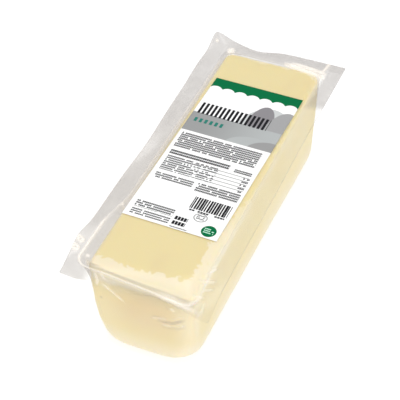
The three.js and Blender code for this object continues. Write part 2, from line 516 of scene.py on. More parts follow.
cheese = {
    "squareSize": 2.3,            # millimetres, before the last subdivision
    "smoothing": 2,
    "unevenness": 0.22, "lumps": 22,
    "tightColour": (0.765, 0.65, 0.345, 1),      # where the film lies tight and wet
    "looseAndLitColour": (0.825, 0.735, 0.527, 1),     # where it lies loose, partly painted sheen; and painted light on the walls
    "deepColour": (0.70, 0.55, 0.315, 1),
    "shadeColour": (0.60, 0.535, 0.37, 1),       # the upper edge behind the channel
    "patchEdge": 0.8,                            # softness of the tight patch's edge, and its waviness:
    "wander": 7.0, "wanderScale": 70, "jags": 7.0, "jagScale": 260,
    "mottle": 0.35, "mottleScale": 34, "mottleStretch": (1, 0.6, 1), "mottleFade": (0.45, 0.8),
    "roughness": 0.32, "roughVaries": 0.2, "roughScale": 120, "specular": 0.35,
    "subsurface": 0.25, "scatter": (0.006, 0.004, 0.0015),
    "grainScale": 900, "grainBump": 0.08, "grainDepth": 0.0004,
}
# Where the cheese changes colour. Each pair is a place where a change begins and where it is whole.
cheesePaint = {
    "top": (72, 76), "wallPast": 20,                       # height above which the top's colours show
    "widerPatch": 7, "widerFrom": (-75, -15),              # the tight patch widens to the right
    "farEdge": 142.5, "farSlant": 0.1, "farX": 10, "farHalf": 120,
    "paleMiddle": 0.35, "alongTop": (-90, 0),              # less pale along the right of the patch
    "paleFar": 0.7, "farTop": (132, 138),
    # Painted light: paler towards the foot of the walls, as light thrown up from the floor, and at the
    # near right corner, as light from the front right.
    "paleWall": 0.16, "paintedFootLight": 0.74, "foot": (32, 10),
    "paintedCornerLight": 0.6, "cornerRight": (22, 38), "cornerNear": (-125, -135),
    "wallPatches": 0.2, "wallPatchSize": 26,
    "deep": 1.2, "deepMiddle": (4, 52), "deepWide": 32, "deepHigh": 22, "nearWall": (-130, -138),
    "shade": 0.5, "shadeWidth": 1.4, "shadeDepth": (7, 3),
    "leftShadeWidth": 3.4, "leftShade": (-38, -41),
    "shadedNear": (-132, -140), "shadedFar": (138, 144), "shadedLeft": (-40, -43),
}


def cheeseMaterial():
    material, tree = newMaterial("mozzarella")
    past = attributeValue(tree, "past")
    for size, scale in (("wander", "wanderScale"), ("jags", "jagScale")):
        centred = maths(tree, "SUBTRACT", noiseValue(tree, cheese[scale], 1), 0.5)
        past = maths(tree, "MULTIPLY_ADD", centred, 2 * cheese[size], past)
    # Paler where the film lies loose, partly painted sheen, and with painted light on the walls.
    looseAndLit = fadeBetween(tree, past, -cheese["patchEdge"], cheese["patchEdge"])
    looseAndLit = maths(tree, "MULTIPLY", looseAndLit, attributeValue(tree, "looseAndLit"))
    mottle = noiseValue(tree, cheese["mottleScale"], 2, cheese["mottleStretch"])
    deep = fadeBetween(tree, mottle, *cheese["mottleFade"])
    deep = maths(tree, "MULTIPLY", deep, cheese["mottle"])
    deep = maths(tree, "MAXIMUM", deep, attributeValue(tree, "deep"))
    yellow = mixColours(tree, deep, cheese["tightColour"], cheese["deepColour"])
    colour = mixColours(tree, looseAndLit, yellow, cheese["looseAndLitColour"])
    colour = mixColours(tree, attributeValue(tree, "shade"), colour, cheese["shadeColour"])
    shader = addNode(tree, "ShaderNodeBsdfPrincipled", subsurface_method="RANDOM_WALK")
    tree.links.new(colour, shader.inputs["Base Color"])
    shader.inputs["Subsurface Weight"].default_value = cheese["subsurface"]
    shader.inputs["Subsurface Radius"].default_value = cheese["scatter"]
    shader.inputs["Subsurface Scale"].default_value = 1.0
    shader.inputs["Specular IOR Level"].default_value = cheese["specular"]
    varied = noiseValue(tree, cheese["roughScale"])
    rough = maths(tree, "MULTIPLY_ADD", varied, cheese["roughVaries"], cheese["roughness"])
    tree.links.new(rough, shader.inputs["Roughness"])
    grain = noiseValue(tree, cheese["grainScale"], 2)
    bump = bumpNormal(tree, grain, cheese["grainBump"], cheese["grainDepth"])
    tree.links.new(bump, shader.inputs["Normal"])
    showSurface(tree, shader)
    return material


def cutAcross(piece, axis, size):
    # cuts a box across one axis into slices of about the given size
    bpy.ops.object.mode_set(mode="EDIT")
    bpy.ops.mesh.select_mode(type="EDGE")
    bpy.ops.mesh.select_all(action="DESELECT")
    bpy.ops.object.mode_set(mode="OBJECT")
    longest = 0
    for edge in piece.data.edges:
        start, end = (piece.data.vertices[i].co for i in edge.vertices)
        step = end - start
        edge.select = abs(step[axis]) > 0.99 * step.length
        longest = max(longest, abs(step[axis]))
    bpy.ops.object.mode_set(mode="EDIT")
    bpy.ops.mesh.subdivide(number_cuts=max(1, round(longest / size) - 1))
    bpy.ops.object.mode_set(mode="OBJECT")


def makeCheese():
    bpy.ops.object.select_all(action="DESELECT")
    middle = (blockLow + blockHigh) / 2
    bpy.ops.mesh.primitive_cube_add(size=1, location=middle, scale=blockHigh - blockLow)
    piece = bpy.context.object
    piece.name = "mozzarella_block"
    piece.data.name = piece.name
    bpy.ops.object.transform_apply(location=True, rotation=True, scale=True)
    for axis in (0, 1, 2):
        cutAcross(piece, axis, cheese["squareSize"] * mm)
    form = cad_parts["cheese_block"].copy()
    form.data = form.data.copy()
    bpy.context.scene.collection.objects.link(form)
    applyModifier(piece, "SHRINKWRAP", target=form, wrap_method="NEAREST_SURFACEPOINT")
    bpy.data.objects.remove(form)
    applyModifier(piece, "SMOOTH", factor=0.5, iterations=cheese["smoothing"])
    applyModifier(piece, "SUBSURF", levels=1, render_levels=1)
    points = toMillimetres(vertexPlaces(piece))
    dent = cheese["unevenness"] * (roughAt(points, cheese["lumps"], 1) - 1) / 2
    points += vertexNormals(piece) * dent[:, None]
    placeVertices(piece, toMetres(points))
    paintCheese(piece, points)
    finishPiece(piece, "cheese_block", cheeseMaterial())


def paintCheese(piece, points):
    # "past" is the distance in millimetres past the edge of the tight flat patch; the cheese is paler
    # past it, where the film lies loose, partly by painted sheen, and painted light makes it paler low on
    # the walls and at their near right corner. "deep" is the darker middle of the near wall, "shade" the
    # painted shade behind the channel.
    x, y, z = points.T
    paint = cheesePaint
    onTop = ramp(z, *paint["top"])
    right = shoulder["right"] + paint["widerPatch"] * ramp(y, *paint["widerFrom"])
    past = outsideEdges(x, y, right, shoulder["near"], shoulder["turn"])
    farPast = y - paint["farEdge"] + paint["farSlant"] * (x - paint["farX"])
    past = np.where(y > paint["farHalf"], np.maximum(past, farPast), past)
    pale = mix(1, paint["paleMiddle"], ramp(y, *paint["alongTop"]))
    pale = np.maximum(pale, paint["paleFar"] * ramp(y, *paint["farTop"]))
    corner = ramp(x, *paint["cornerRight"]) * ramp(y, *paint["cornerNear"])
    # painted light: paler towards the foot of the walls and at the near right corner
    low = ramp(z, *paint["foot"]) + paint["paintedCornerLight"] * corner
    patches = paint["wallPatches"] * roughAt(points, paint["wallPatchSize"], 3)
    wall = np.clip(paint["paleWall"] + paint["paintedFootLight"] * low + patches, 0, 1)
    setAttribute(piece, "past", mix(paint["wallPast"], past, onTop))
    setAttribute(piece, "looseAndLit", mix(wall, pale, onTop))
    across, up = x - paint["deepMiddle"][0], z - paint["deepMiddle"][1]
    middle = bell(np.hypot(across / paint["deepWide"], up / paint["deepHigh"]), 1)
    middle *= ramp(y, *paint["nearWall"])
    setAttribute(piece, "deep", np.clip(paint["deep"] * middle, 0, 1))
    width = mix(paint["shadeWidth"], paint["leftShadeWidth"], ramp(x, *paint["leftShade"]))
    rim = block["top"] - rimSag(x, y)
    edge = smooth(outside(x, y, blockTop) + width) * ramp(rim - z, *paint["shadeDepth"])
    shaded = [ramp(y, *paint["shadedNear"]), ramp(y, *paint["shadedFar"]), ramp(x, *paint["shadedLeft"])]
    setAttribute(piece, "shade", paint["shade"] * edge * np.clip(sum(shaded), 0, 1))


makeCheese()


# the clear film

film = {
    "thickness": 0.16, "offset": 0.4,      # millimetres, and how far the tray stands off the cheese
    # The hazy tint and veil stand for the film's own grey and for painted shade and painted shadow seen
    # through it; the milk for its own whitening and for painted highlights.
    "clearTint": (0.999, 0.999, 0.998, 1), "hazeAndShadeTint": (0.897, 0.888, 0.882, 1),
    "veil": 0.002, "hazeAndShadeVeil": 0.06, "veilColour": (0.6, 0.585, 0.57, 1),
    "milkAndHighlight": 0.55, "milkAndHighlightColour": (0.985, 0.92, 0.83, 1),
    "mirror": 0.008, "hazeAndShadeMirror": 0.02, "grazing": 0.12, "grazingPower": 5, "roughness": 0.2,
    "milkAndHighlightTurns": (0.01, 0.2),      # where the veil's colour turns to the milk's
}


def letLightPass(piece):
    # so thin a film casts next to no shadow, and this spares the light's transparent bounces
    piece.visible_shadow = False
    piece.visible_diffuse = False


def mixShaders(tree, share, first, second):
    node = addNode(tree, "ShaderNodeMixShader")
    tree.links.new(share, node.inputs["Fac"])
    tree.links.new(first.outputs[0], node.inputs[1])
    tree.links.new(second.outputs[0], node.inputs[2])
    return node


def filmMaterial(name):
    material, tree = newMaterial(name)
    # The whiteness holds painted highlights and the grey painted shade and shadow, each besides the film's
    # own.
    milkAndHighlight = attributeValue(tree, "milkAndHighlight")
    hazeAndShadeValue = attributeValue(tree, "hazeAndShade")
    facing = addNode(tree, "ShaderNodeLayerWeight").outputs["Facing"]
    grazing = maths(tree, "POWER", facing, film["grazingPower"])
    mirror = maths(tree, "MULTIPLY_ADD", grazing, film["grazing"], film["mirror"])
    mirror = maths(tree, "MULTIPLY_ADD", hazeAndShadeValue, film["hazeAndShadeMirror"], mirror)
    cloud = maths(tree, "MULTIPLY_ADD", hazeAndShadeValue, film["hazeAndShadeVeil"], film["veil"])
    veil = maths(tree, "MULTIPLY_ADD", milkAndHighlight, film["milkAndHighlight"], cloud)
    milkyHighlight = fadeBetween(tree, milkAndHighlight, *film["milkAndHighlightTurns"])
    colour = mixColours(tree, milkyHighlight, film["veilColour"], film["milkAndHighlightColour"])
    diffuse = addNode(tree, "ShaderNodeBsdfDiffuse")
    tree.links.new(colour, diffuse.inputs["Color"])
    clear = addNode(tree, "ShaderNodeBsdfTransparent")
    tree.links.new(mixColours(tree, hazeAndShadeValue, film["clearTint"], film["hazeAndShadeTint"]), clear.inputs["Color"])
    gloss = addNode(tree, "ShaderNodeBsdfGlossy")
    gloss.inputs["Roughness"].default_value = film["roughness"]
    showSurface(tree, mixShaders(tree, mirror, mixShaders(tree, veil, clear, diffuse), gloss))
    return material


# Painted highlights, with some of the film's own whitening: white lines and spots where the film is
# folded or stretched, in millimetres over the plan.
filmFolds = [
    {"line": [(11, 147.9), (22, 146.4), (34, 144.4), (46, 142)], "width": 2.7, "milkAndHighlight": 0.9},
    {"line": [(16, 151.2), (34, 149.7), (47, 147)], "width": 1.8, "milkAndHighlight": 0.8},
    {"line": [(43.8, 147), (45.7, 158), (45.9, 164)], "width": 1.0, "milkAndHighlight": 0.7},
    {"line": [(44.5, 143.5), (47, 140)], "width": 1.8, "milkAndHighlight": 1.0},
    {"line": [(16, -146.5), (28, -147.5), (38, -149.5), (46, -151.5)], "width": 3.6, "milkAndHighlight": 0.5},
    {"line": [(51, -141), (52.5, -150), (52, -156)], "width": 1.0, "milkAndHighlight": 0.2},
    {"line": [(42, -117), (49, -110)], "width": 0.9, "milkAndHighlight": 0.25},
    {"line": [(40.5, -123.5), (51.6, -121.2)], "width": 1.0, "milkAndHighlight": 0.3},
    {"line": [(45.3, -129.5), (52.6, -127.6)], "width": 0.9, "milkAndHighlight": 0.25},
    {"line": [(41, -137), (48, -134.5)], "width": 1.2, "milkAndHighlight": 0.25},
    {"line": [(-43.2, 147), (-42.6, 150)], "width": 2.4, "milkAndHighlight": 1.0},
    {"line": [(-58, 152), (-57.8, 152.5)], "width": 1.3, "milkAndHighlight": 0.9},
    {"line": [(-48.8, -134), (-47.2, -134.6)], "width": 1.5, "milkAndHighlight": 1.0},
    {"line": [(-48.2, -72.5), (-47.6, -72)], "width": 1.3, "milkAndHighlight": 0.9},
]
# Folds of the tray on the near wall: across and up. Light ones are white painted highlights, dark ones
# grey painted shade.
wallFolds = [
    {"line": [(-32, 70.5), (-24, 65.5), (-15.5, 58.5)], "width": 0.9, "milkAndHighlight": 0.7},
    {"line": [(-32, 85), (-30, 78)], "width": 1.2, "milkAndHighlight": 0.5},
    {"line": [(-37, 84), (-36.5, 74), (-37.5, 68)], "width": 0.9, "milkAndHighlight": 0.6},
    {"line": [(8.4, 50.5), (16, 51.4)], "width": 0.9, "milkAndHighlight": 0.4},
    {"line": [(17.4, 45.4), (30, 48.3), (35, 51.6)], "width": 0.9, "milkAndHighlight": 0.6},
    {"line": [(15, 52.2), (25, 53), (31, 57.6), (34, 61)], "width": 0.9, "milkAndHighlight": 0.5},
    {"line": [(24.5, 66), (27, 65)], "width": 1.2, "milkAndHighlight": 0.6},
]
# Painted shade beside the folds.
wallShades = [
    {"line": [(-33, 72.5), (-25, 67.5), (-17, 61)], "width": 1.0, "hazeAndShade": 0.5},
    {"line": [(9, 52.4), (17, 53.2)], "width": 0.9, "hazeAndShade": 0.6},
    {"line": [(14, 48.8), (25, 49.8), (31, 54.2), (35, 57.6)], "width": 1.3, "hazeAndShade": 1.2},
    {"line": [(18, 43), (30, 45.8), (36, 49.4)], "width": 1.0, "hazeAndShade": 0.6},
    {"line": [(17, 70), (21, 68), (23, 64)], "width": 1.6, "hazeAndShade": 0.7},
    {"line": [(-34.8, 56), (-34.2, 55)], "width": 1.2, "hazeAndShade": 0.8},
]


foldEnds = {"part": 0.2, "strength": 0.4}


def foldStrength(points, folds, key):
    strength = np.zeros(len(points))
    for fold in folds:
        distance, along = distanceToLine(points, fold["line"])
        fade = mix(foldEnds["strength"], 1, fadedEnds(along, foldEnds["part"]))
        strength = np.maximum(strength, fold[key] * bell(distance, fold["width"]) * fade)
    return strength


# How the film looks from place to place. Each pair here and below is a place where a change begins
# and where it is whole.
nearWallBand = {"y": (-136, -139), "mouth": (1, 0), "belowRim": (1, 3)}


def onNearWall(points):
    x, y, z = points.T
    belowRim = block["top"] - rimSag(x, y) - z
    inMouth = ramp(outsideMouth(x, y), *nearWallBand["mouth"])
    return ramp(y, *nearWallBand["y"]) * inMouth * ramp(belowRim, *nearWallBand["belowRim"])


# Painted highlights along the bead and on the rims of the pressed marks, with the film's own whitening.
whiteness = {
    "width": 0.9, "leftWidth": 0.7, "leftFrom": (-38, -43),      # of the line along the bead
    "side": 0.2, "sideFrom": (136, 128),
    "near": 0.45, "nearFrom": (-128, -140),
    "pocket": 0.7, "pocketFrom": (-84, -100),
    "rightLoss": 0.75, "rightFrom": (38, 43),
    "marks": 0.5, "flangeFrom": (72, 75),
}


def filmMilkAndHighlight(points):
    # whiteness along the bead and the folds: the film's own whitening and painted highlights
    x, y, z = points.T
    white = whiteness
    near = ramp(y, *white["nearFrom"])
    left = ramp(x, *white["leftFrom"])
    strength = np.maximum(white["side"] * ramp(y, *white["sideFrom"]), white["near"] * near)
    strength *= 1 - white["rightLoss"] * ramp(x, *white["rightFrom"]) * (1 - near)
    strength = np.maximum(strength, white["pocket"] * left * ramp(y, *white["pocketFrom"]))
    width = mix(white["width"], white["leftWidth"], left)
    milkAndHighlight = strength * bell(outsideMouth(x, y) - bead["place"], width)
    milkAndHighlight = np.maximum(milkAndHighlight, foldStrength(points[:, :2], filmFolds, "milkAndHighlight"))
    milkAndHighlight = np.maximum(milkAndHighlight, white["marks"] * markRing(x, y))
    wall = onNearWall(points)
    onWall = foldStrength(points[:, [0, 2]], wallFolds, "milkAndHighlight") * wall
    return np.maximum(milkAndHighlight * ramp(z, *white["flangeFrom"]) * (1 - wall), onWall)


# Painted shadow seen through the left and far flange, and painted shade on the near flange over the wall,
# besides the film's own grey.
flangeGrey = {
    "from": (-1, 1),                                             # out past the mouth
    "left": (-30, -41), "leftTurns": 4, "turnFrom": (-130, -145),
    "leftNear": 0.66, "leftNearFrom": (-95, -120),
    "leftFar": 0.88, "leftFarFrom": (70, 110),
    "farLeft": 0.85, "far": 1.08, "farLeftTo": (-50, -35), "farFrom": (140, 148), "farEnd": (52, 44),
    "right": 0.05, "rightFar": 0.85, "rightFarFrom": (92, 106), "rightFrom": (44, 50),
    "edge": 0.3, "edgeWidth": 0.8, "edgeFrom": (50, 55), "edgeNear": (-150, -120),
    "near": 0.2, "nearFrom": (-143, -147), "nearRight": (40, 20), "nearOut": (9, 1),
    "outerFar": 0.35, "outerFarFrom": (151, 156), "outerFarLeft": (-30, -5),
    "even": 0.95,                                                # the rest is in clouds
    "clouds": [{"share": 0.16, "size": 24, "seed": 11}, {"share": 0.08, "size": 6, "seed": 12}],
}


def flangeHazeAndShadow(points):
    # grey on the left and far flange, the film's own grey with painted shadow seen through it, nearly
    # clear on the right one but for a line at its edge, and painted shade on the near flange over the wall
    x, y = points.T[:2]
    grey = flangeGrey
    past = outsideMouth(x, y)
    left = ramp(x + grey["leftTurns"] * ramp(y, *grey["turnFrom"]), *grey["left"])
    left *= mix(1, grey["leftNear"], ramp(y, *grey["leftNearFrom"]))
    left *= mix(1, grey["leftFar"], ramp(y, *grey["leftFarFrom"]))
    far = ramp(y, *grey["farFrom"]) * ramp(x, *grey["farEnd"])
    far *= mix(grey["farLeft"], grey["far"], ramp(x, *grey["farLeftTo"]))
    right = mix(grey["right"], grey["rightFar"], ramp(y, *grey["rightFarFrom"]))
    right *= ramp(x, *grey["rightFrom"])
    edge = grey["edge"] * bell(insideFlange(x, y), grey["edgeWidth"])
    edge *= ramp(x, *grey["edgeFrom"]) * ramp(y, *grey["edgeNear"])
    near = grey["near"] * ramp(y, *grey["nearFrom"])
    near *= ramp(x, *grey["nearRight"]) * ramp(past, *grey["nearOut"])
    clouds = [patch["share"] * roughAt(points, patch["size"], patch["seed"]) for patch in grey["clouds"]]
    outerFar = grey["outerFar"] * ramp(y, *grey["outerFarFrom"]) * ramp(x, *grey["outerFarLeft"])
    hazeAndShade = np.max([left, far, right, edge, near], axis=0) * (grey["even"] + sum(clouds)) + outerFar
    return hazeAndShade * ramp(past, *grey["from"])


# Painted shade in the gap between the cheese and the tray.
channelGrey = {
    "out": (1.2, 0.4), "up": (58, 78),
    "inward": 0.7, "leftInward": 2.2, "inwardFrom": (-30, -35),      # the cheese's left edge is round,
    "middleInward": 1.4, "middleY": 5, "middleReach": 70,            # most of all in its middle
    "strength": 1.1, "left": (-30, -42), "far": (138, 144),
    "pocket": 0.88, "pocketFrom": (-40, -44),
    "near": 0.15, "nearFrom": (-138, -142), "nearLine": 0.85, "linePlace": 1.1, "lineWidth": 0.9,
}


def channelShade(points):
    # painted shade: grey between the block and the mouth, on the left, at the far end and a little at the
    # near end
    x, y, z = points.T
    grey = channelGrey
    offBlock = outside(x, y, blockTop)
    leftInward = grey["leftInward"] + grey["middleInward"] * bell(y - grey["middleY"], grey["middleReach"])
    inward = mix(grey["inward"], leftInward, ramp(x, *grey["inwardFrom"]))
    gap = smooth(offBlock + inward) * ramp(outsideMouth(x, y), *grey["out"]) * ramp(z, *grey["up"])
    side = np.clip(ramp(x, *grey["left"]) + ramp(y, *grey["far"]), 0, 1)
    inPocket = pocketPull(y) / pocket["depth"] * ramp(x, *grey["pocketFrom"])
    nearLine = grey["nearLine"] * bell(offBlock - grey["linePlace"], grey["lineWidth"])
    near = (grey["near"] + nearLine) * ramp(y, *grey["nearFrom"])
    return gap * np.maximum(side * mix(grey["strength"], grey["pocket"], inPocket), near)


hazeAndShade = {"milkAndHighlightHides": 0.9, "most": 1.5}


def filmHazeAndShade(points):
    # the film's own grey with painted shade and painted shadow, less where the film is white
    folded = foldStrength(points[:, [0, 2]], wallShades, "hazeAndShade") * onNearWall(points)
    grey = np.max([flangeHazeAndShadow(points), channelShade(points), folded], axis=0)
    return np.clip(grey * (1 - hazeAndShade["milkAndHighlightHides"] * filmMilkAndHighlight(points)), 0, hazeAndShade["most"])


# the tray film

tray = {
    "steps": {"corner": 14, "end": 64, "side": 110},
    "bottomRows": 3, "edgeRows": 9, "wallRows": 40, "flareRows": 15, "flangeRows": 14,
    "flareStart": 66, "flarePower": 2.2, "flangePower": 1.25,
    "clearOfFloor": 0.3, "middleLength": 0.8,
    "ripple": 0.2, "rippleSize": 16, "fineShare": 0.7, "fineSize": 6, "swell": 0.6,
    "rippleFrom": (8, 18), "rippleIn": (0.5, -1),      # up the wall, and inward from the mouth
}
trayCreases = [
    {"line": [(-32, -143, 71), (-24, -143, 66), (-15.5, -143, 58.5)], "width": 1.1, "height": 0.7},
    {"line": [(8, -143, 50.5), (16, -143, 51.4)], "width": 1.0, "height": 0.6},
    {"line": [(15, -143, 52), (25, -143, 52.8), (31, -143, 57.4), (35, -143, 61)],
     "width": 1.1, "height": 0.8},
    {"line": [(17, -143, 45.4), (30, -143, 48.3), (35, -143, 51.6)], "width": 1.1, "height": 0.8},
]


def trayRow(row, u):
    # one ring of the film, from the middle of its underside out to the flange's edge
    steps = tray["steps"]
    offset = film["offset"]
    radius = block["bottomEdge"] + offset
    centreZ = block["bottomEdge"] + tray["clearOfFloor"] + offset
    if row < tray["bottomRows"]:
        share = (row + 1) / (tray["bottomRows"] + 1)
        x, y = blockOutline(u, 0, offset, steps, radius)
        return x * share, y * mix(tray["middleLength"], 1, share), np.full_like(u, centreZ - radius)
    row -= tray["bottomRows"]
    if row <= tray["edgeRows"]:
        angle = math.pi / 2 * row / tray["edgeRows"]
        z = centreZ - radius * math.cos(angle)
        x, y = blockOutline(u, z, offset, steps, radius * (1 - math.sin(angle)))
        return x, y, np.full_like(u, z)
    row -= tray["edgeRows"]
    if row <= tray["wallRows"]:
        z = mix(centreZ, tray["flareStart"], row / tray["wallRows"])
        x, y = blockOutline(u, z, offset, steps)
        return x, y, np.full_like(u, z)
    row -= tray["wallRows"]
    mouthX, mouthY = mouthOutline(u, steps)
    if row <= tray["flareRows"]:
        part = row / tray["flareRows"]
        x, y = blockOutline(u, mix(tray["flareStart"], block["top"], part), offset, steps)
        out = part ** tray["flarePower"]
        z = mix(tray["flareStart"], sealHeight(mouthX, mouthY), part)
        return mix(x, mouthX, out), mix(y, mouthY, out), z
    row -= tray["flareRows"]
    across = (row / tray["flangeRows"]) ** tray["flangePower"]
    edgeX, edgeY = flangeOutline(u, steps)
    x, y = mix(mouthX, edgeX, across), mix(mouthY, edgeY, across)
    return x, y, sealHeight(x, y)


def makeTray():
    steps = tray["steps"]
    columns = 4 * steps["corner"] + 2 * steps["end"] + 2 * steps["side"]
    rows = sum(tray[name] for name in ("bottomRows", "edgeRows", "wallRows", "flareRows", "flangeRows"))
    piece = newGrid("tray_clear_film", columns, rows)
    places = vertexPlaces(piece)
    u = places[:, 0] + 0.5
    rowOf = np.rint((places[:, 1] + 0.5) * rows).astype(int)
    points = np.empty_like(places)
    for row in range(rows + 1):
        ring = rowOf == row
        points[ring] = np.column_stack(trayRow(row, u[ring]))
    placeVertices(piece, toMetres(points))
    bpy.ops.object.mode_set(mode="EDIT")
    bpy.ops.mesh.select_all(action="SELECT")
    bpy.ops.mesh.remove_doubles(threshold=0.01 * mm)
    bpy.ops.object.mode_set(mode="OBJECT")
    closeMiddle(piece)
    points = toMillimetres(vertexPlaces(piece))
    x, y, z = points.T
    onWall = ramp(z, *tray["rippleFrom"]) * ramp(outsideMouth(x, y), *tray["rippleIn"])
    fine = tray["fineShare"] * roughAt(points, tray["fineSize"], 6)
    ripple = tray["ripple"] * (roughAt(points, tray["rippleSize"], 5) + fine + tray["swell"])
    swell = creaseHeight(points, trayCreases) + ripple * onWall
    points += vertexNormals(piece) * swell[:, None]
    placeVertices(piece, toMetres(points))
    setAttribute(piece, "milkAndHighlight", filmMilkAndHighlight(points))
    setAttribute(piece, "hazeAndShade", filmHazeAndShade(points))
    applyModifier(piece, "SOLIDIFY", thickness=film["thickness"] * mm, offset=0)
    letLightPass(piece)
    finishPiece(piece, "tray_film", filmMaterial("trayFilm"))


def closeMiddle(piece):
    # fills the open middle of the underside
    floorZ = min(vertex.co.z for vertex in piece.data.vertices)
    bpy.ops.object.mode_set(mode="EDIT")
    bpy.ops.mesh.select_mode(type="EDGE")
    bpy.ops.mesh.select_all(action="DESELECT")
    bpy.ops.mesh.select_non_manifold()
    bpy.ops.object.mode_set(mode="OBJECT")
    for edge in piece.data.edges:
        low = all(piece.data.vertices[i].co.z < floorZ + mm for i in edge.vertices)
        edge.select = edge.select and low
    bpy.ops.object.mode_set(mode="EDIT")
    bpy.ops.mesh.edge_face_add()
    bpy.ops.mesh.select_all(action="SELECT")
    bpy.ops.mesh.normals_make_consistent(inside=False)
    bpy.ops.object.mode_set(mode="OBJECT")


makeTray()


# the lid film

lid = {
    "squareSize": 1.1, "crowding": 0.42,     # squares crowd towards the edges
    "gap": 0.35, "overTray": 0.35,
    "edgeDrop": 0.4, "channelDip": 0.5,
    "ripple": 0.05, "rippleSize": 13, "fineShare": 0.5, "fineSize": 4, "swell": 0.5,
    "rippleOut": (-6, 0),
}
lidCreases = [
    {"line": [(8, 148, 88), (22, 146.6, 88), (46, 142.6, 88)], "width": 1.6, "height": 1.3},
    {"line": [(43.8, 147, 89), (46, 160, 89)], "width": 1.4, "height": 0.8},
    {"line": [(42, -117, 85), (49, -110, 85)], "width": 1.1, "height": 0.4},
    {"line": [(40.5, -123.5, 84), (51.6, -121.2, 84)], "width": 1.1, "height": 0.45},
    {"line": [(45.3, -129.5, 83), (52.6, -127.6, 83)], "width": 1.1, "height": 0.4},
]


def lidHeight(x, y):
    # middle of the film's thickness, over the flange, the channel and the cheese, whose soft
    # shoulder it spans
    past = outsideMouth(x, y)
    offBlock = outside(x, y, blockTop)
    seal = sealHeight(x, y) + lid["overTray"]
    stretched = np.maximum(topHeight(x, y), block["top"] - rimSag(x, y))
    top = stretched + lid["gap"] - lid["edgeDrop"] * ramp(offBlock, -block["topEdge"], 0)
    gapShare = np.clip(offBlock / (offBlock - past + tiny), 0, 1)
    rim = block["top"] - rimSag(x, y) + lid["overTray"] + beadHeight(x, y, past)
    dip = lid["channelDip"] * 4 * gapShare * (1 - gapShare)
    channel = mix(top, rim, smooth(gapShare)) - dip
    return np.where(past > 0, seal, np.where(offBlock > 0, channel, top))


def crowdedShare(share):
    return share - lid["crowding"] * np.sin(2 * math.pi * share) / (2 * math.pi)


def makeLid():
    wide = flange["right"] - flange["left"]
    long = flange["far"] - flange["near"]
    piece = newGrid("lid_clear_film", round(wide / lid["squareSize"]), round(long / lid["squareSize"]))
    places = vertexPlaces(piece)
    x = mix(flange["left"], flange["right"], crowdedShare(places[:, 0] + 0.5))
    y = mix(flange["near"], flange["far"], crowdedShare(places[:, 1] + 0.5))
    pull = cornerPull(x, y)
    x, y = x + drawnIn["moveX"] * pull, y + drawnIn["moveY"] * pull
    points = np.column_stack((x, y, lidHeight(x, y)))
    fine = lid["fineShare"] * roughAt(points, lid["fineSize"], 9)
    ripple = lid["ripple"] * (roughAt(points, lid["rippleSize"], 8) + fine + lid["swell"])
    ripple *= ramp(outsideMouth(x, y), *lid["rippleOut"])
    points[:, 2] += creaseHeight(points, lidCreases) + ripple
    placeVertices(piece, toMetres(points))
    setAttribute(piece, "milkAndHighlight", filmMilkAndHighlight(points))
    setAttribute(piece, "hazeAndShade", filmHazeAndShade(points))
    applyModifier(piece, "SOLIDIFY", thickness=film["thickness"] * mm, offset=0)
    letLightPass(piece)
    finishPiece(piece, "lid_film", filmMaterial("lidFilm"))


makeLid()


# the label

label = {
    "width": 81.2, "length": 188.6, "x": -1, "y": 11.1, "turn": -1.2,
    "thickness": 0.12, "overLid": 0.25, "across": 54, "along": 126,
    "paper": (0.97, 0.97, 0.965, 1), "paperShade": (0.95, 0.95, 0.945, 1), "fibreScale": 300,
    "roughness": 0.45, "specular": 0.05,
}
ink = {
    "green": (0.0, 0.15, 0.05, 1),
    "mint": (0.5, 0.8, 0.65, 1),
    "white": (0.97, 0.97, 0.965, 1),
    "dark": (0.015, 0.015, 0.018, 1),
    "charcoal": (0.05, 0.05, 0.055, 1),
    "panel": (0.32, 0.325, 0.325, 1),
    "pale": (0.58, 0.60, 0.60, 1),
    "silver": (0.44, 0.46, 0.46, 1),
    "shade": (0.26, 0.25, 0.265, 1),
    "middle": (0.36, 0.36, 0.365, 1),
    "teal": (0.03, 0.2, 0.16, 1),
    "rule": (0.32, 0.32, 0.32, 1),
}
# Plain fields on the paper, in millimetres from its far left corner: left, far, right, near.
plainFields = [
    {"box": (0, 0, 81.2, 13.5), "ink": "green"},
    {"box": (0, 50, 81.2, 75.6), "ink": "panel", "fadeTo": "silver", "fade": (10, 80)},
]
plainFields += [{"box": (29, y, 78, y + 0.8), "ink": "rule"} for y in (112, 116, 120, 124, 128)]
